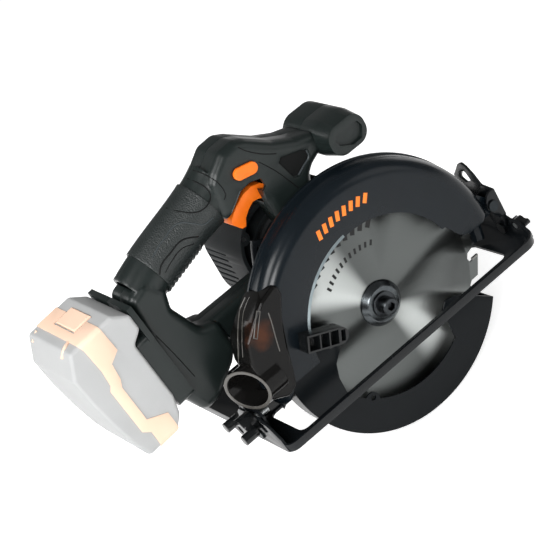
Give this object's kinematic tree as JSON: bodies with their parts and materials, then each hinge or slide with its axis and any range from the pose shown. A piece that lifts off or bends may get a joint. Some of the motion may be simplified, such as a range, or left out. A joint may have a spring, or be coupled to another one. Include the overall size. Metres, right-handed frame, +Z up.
{
  "type": "cordless circular saw",
  "caption": "Cordless circular saw with a guarded blade on the right, D handle with trigger, tilting sole plate with depth and bevel clamps, dust chute and a slide-off battery.",
  "frame": {"origin": "middle of the sole plate's underside", "axes": "+X forward along the cut, +Y to the left (motor side), +Z up off the work"},
  "size_m": [0.3573, 0.1435, 0.264],
  "materials": {
    "housing_plastic": "satin moulded",
    "grip_rubber": "stippled",
    "motor_plastic": "satin moulded",
    "guard_paint": "satin",
    "sole_paint": "satin",
    "blade_steel": "ground",
    "tip_carbide": "brazed",
    "flange_steel": "blackened",
    "black_steel": "blackened",
    "zinc_steel": "plated",
    "gear_steel": "machined",
    "case_alloy": "die cast, painted",
    "smoked_plastic": "smoked",
    "knob_plastic": "moulded",
    "orange_plastic": "moulded",
    "motor_iron": "laminated",
    "copper": "turned",
    "inner_plastic": "moulded",
    "stop_rubber": "moulded",
    "pack_plastic": "pale moulded",
    "pack_band": "pale moulded",
    "cell_wrap": "wrapped"
  },
  "bodies": {
    "head": {"housing_right": "housing_plastic", "housing_left": "housing_plastic", "grip_overmould": "grip_rubber", "housing_screws": "zinc_steel", "motor_housing": "motor_plastic", "motor_screws": "zinc_steel", "gear_case": "case_alloy", "gear_cover": "case_alloy", "upper_guard": "guard_paint", "guard_screws": "zinc_steel", "dust_chute": "smoked_plastic", "switch_body": "inner_plastic", "terminal_block": "inner_plastic", "motor_can": "motor_iron", "magnets": "motor_iron", "brushes": "copper", "motor_bearings": "zinc_steel", "spindle_bearings": "zinc_steel", "guard_stop": "stop_rubber", "guard_spring": "zinc_steel", "guard_retainer": "zinc_steel", "depth_bolt": "zinc_steel", "depth_bush": "zinc_steel", "trigger_pin": "zinc_steel"},
    "blade_set": {"blade": "blade_steel", "blade_tips": "tip_carbide", "outer_flange": "flange_steel", "inner_flange": "flange_steel", "bolt_washer": "black_steel", "arbor_bolt": "black_steel", "spindle": "zinc_steel", "output_gear": "gear_steel"},
    "idler": {"idler_gear": "gear_steel"},
    "armature": {"motor_shaft": "gear_steel", "armature_core": "motor_iron", "commutator": "copper", "cooling_fan": "inner_plastic"},
    "lower_guard": {"lower_guard": "guard_paint", "guard_lever": "knob_plastic", "lever_screw": "zinc_steel"},
    "trigger": {"trigger": "orange_plastic"},
    "lock_off": {"lock_off_button": "orange_plastic"},
    "spindle_lock": {"spindle_lock": "knob_plastic"},
    "depth_lever": {"depth_lever": "knob_plastic"},
    "tilt_frame": {"front_bracket": "sole_paint", "depth_guide": "sole_paint", "depth_pin": "black_steel", "bevel_stud": "zinc_steel"},
    "rear_knob": {"rear_knob": "knob_plastic"},
    "base": {"sole_plate": "sole_paint", "bevel_rivets": "black_steel", "fence_stud": "zinc_steel"},
    "front_knob": {"front_knob": "knob_plastic"},
    "battery": {"battery_case": "pack_plastic", "battery_band": "pack_band", "battery_cells": "cell_wrap"},
    "battery_latch": {"battery_latch": "pack_band"}
  },
  "joints": [
    {"name": "blade_spin", "type": "hinge", "parent": "head", "child": "blade_set", "pos_m": [0.003, -0.0335, 0.0275], "axis": [0, 1, 0], "continuous": true},
    {"name": "idler_spin", "type": "hinge", "parent": "head", "child": "idler", "pos_m": [-0.0045, -0.0335, 0.05344], "axis": [0, 1, 0], "continuous": true},
    {"name": "motor_spin", "type": "hinge", "parent": "head", "child": "armature", "pos_m": [-0.012, -0.0335, 0.07938], "axis": [0, 1, 0], "continuous": true},
    {"name": "guard_swing", "type": "hinge", "parent": "head", "child": "lower_guard", "pos_m": [0.003, -0.0335, 0.0275], "axis": [0, 1, 0], "range_deg": [0, 130], "stiffness_Nm_per_rad": 0.2, "springref_deg": -85.94, "deforming": ["guard_spring"]},
    {"name": "trigger_pull", "type": "hinge", "parent": "head", "child": "trigger", "pos_m": [-0.0215, 0.0065, 0.1445], "axis": [0, 1, 0], "range_deg": [0, 9], "stiffness_Nm_per_rad": 1, "springref_deg": -8.59},
    {"name": "lock_off_push", "type": "slide", "parent": "head", "child": "lock_off", "axis": [0, 1, 0], "range_m": [0, 0.003], "stiffness_N_per_m": 600, "springref_m": -0.002},
    {"name": "spindle_lock_push", "type": "slide", "parent": "head", "child": "spindle_lock", "axis": [-1, 0, 0], "range_m": [0, 0.003], "stiffness_N_per_m": 600, "springref_m": -0.002},
    {"name": "depth_lever_turn", "type": "hinge", "parent": "head", "child": "depth_lever", "pos_m": [-0.06697, -0.0335, 0.03077], "axis": [0, -1, 0], "range_deg": [0, 20]},
    {"name": "depth_tilt", "type": "hinge", "parent": "head", "child": "tilt_frame", "pos_m": [0.118, -0.0335, 0.034], "axis": [0, -1, 0], "range_deg": [0, 26]},
    {"name": "rear_knob_turn", "type": "hinge", "parent": "tilt_frame", "child": "rear_knob", "pos_m": [-0.137, -0.0333, 0.0214], "axis": [1, 0, 0], "range_deg": [0, 150]},
    {"name": "bevel_tilt", "type": "hinge", "parent": "tilt_frame", "child": "base", "pos_m": [0.003, -0.0315, 0.0065], "axis": [-1, 0, 0], "range_deg": [0, 45]},
    {"name": "front_knob_turn", "type": "hinge", "parent": "base", "child": "front_knob", "pos_m": [0.131, -0.046, 0.0093], "axis": [1, 0, 0], "range_deg": [0, 150]},
    {"name": "battery_slide", "type": "slide", "parent": "head", "child": "battery", "axis": [-0.0872, 0, 0.9962], "range_m": [0, 0.12]},
    {"name": "latch_push", "type": "slide", "parent": "battery", "child": "battery_latch", "axis": [0.0872, 0, -0.9962], "range_m": [0, 0.0028], "stiffness_N_per_m": 600, "springref_m": -0.002}
  ],
  "couplings": [
    {"joint": "idler_spin", "follows": "blade_spin", "ratio": -2.375},
    {"joint": "motor_spin", "follows": "blade_spin", "ratio": 4.75}
  ]
}
